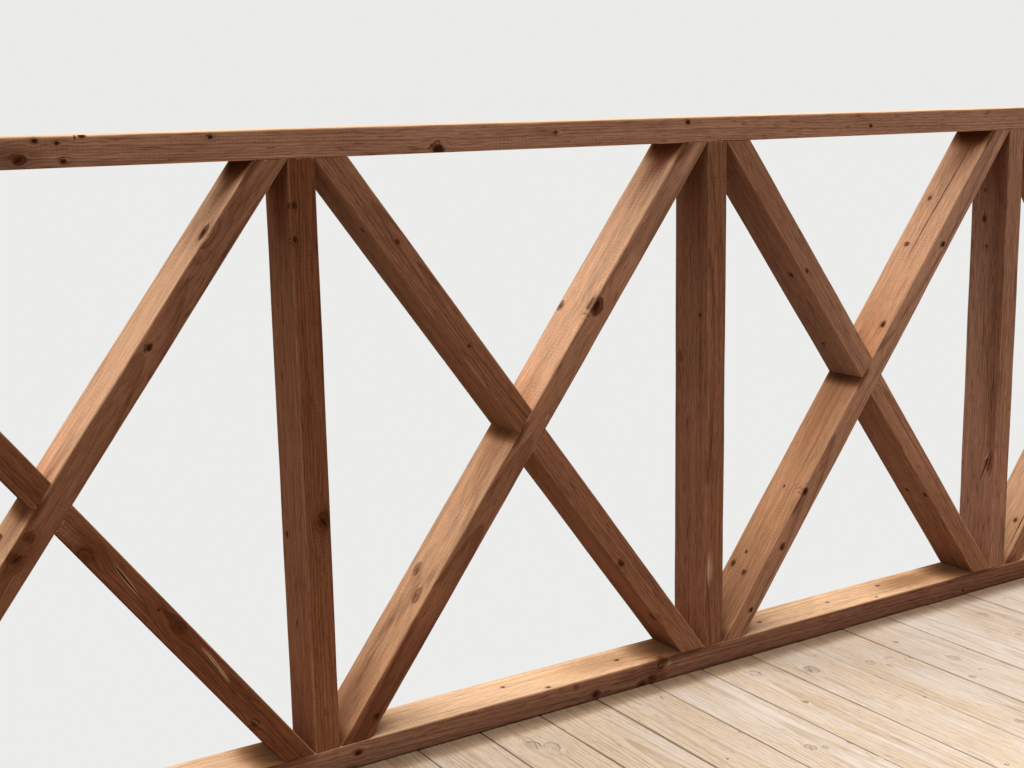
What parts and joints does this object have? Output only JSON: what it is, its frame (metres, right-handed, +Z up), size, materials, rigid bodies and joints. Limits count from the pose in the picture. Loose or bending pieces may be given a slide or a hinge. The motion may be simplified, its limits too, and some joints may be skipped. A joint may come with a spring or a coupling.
{
  "type": "waterside deck",
  "caption": "Raised timber deck on round piles with an X-braced timber railing along its water side.",
  "frame": {"origin": "on the ground, under the middle of the deck", "axes": "+X along the railing, +Y out over the water, +Z up"},
  "size_m": [4.37, 2.7, 2.4],
  "materials": {
    "stained_timber": "red-brown stained softwood, satin",
    "deck_timber": "pale weathered softwood, matt",
    "frame_timber": "pressure-treated softwood, matt",
    "pile_timber": "round softwood poles, weathered, dark towards the foot",
    "galvanised_steel": "dull zinc"
  },
  "bodies": {
    "root": {"post_1": "stained_timber", "post_2": "stained_timber", "post_3": "stained_timber", "post_4": "stained_timber", "post_5": "stained_timber", "post_6": "stained_timber", "long_brace_1": "stained_timber", "short_braces_1": "stained_timber", "long_brace_2": "stained_timber", "short_braces_2": "stained_timber", "long_brace_3": "stained_timber", "short_braces_3": "stained_timber", "long_brace_4": "stained_timber", "short_braces_4": "stained_timber", "long_brace_5": "stained_timber", "short_braces_5": "stained_timber", "sole_plate": "stained_timber", "top_rail": "stained_timber", "deck_boards_1": "deck_timber", "deck_boards_2": "deck_timber", "deck_boards_3": "deck_timber", "deck_boards_4": "deck_timber", "deck_boards_5": "deck_timber", "deck_boards_6": "deck_timber", "deck_boards_7": "deck_timber", "joist_1": "frame_timber", "joist_2": "frame_timber", "joist_3": "frame_timber", "joist_4": "frame_timber", "joist_5": "frame_timber", "left_end_board": "frame_timber", "right_end_board": "frame_timber", "bearers_1": "frame_timber", "bolts_1": "galvanised_steel", "bearers_2": "frame_timber", "bolts_2": "galvanised_steel", "bearers_3": "frame_timber", "bolts_3": "galvanised_steel", "pile_1": "pile_timber", "pile_2": "pile_timber", "pile_3": "pile_timber", "pile_4": "pile_timber", "pile_5": "pile_timber", "pile_6": "pile_timber"}
  },
  "joints": []
}
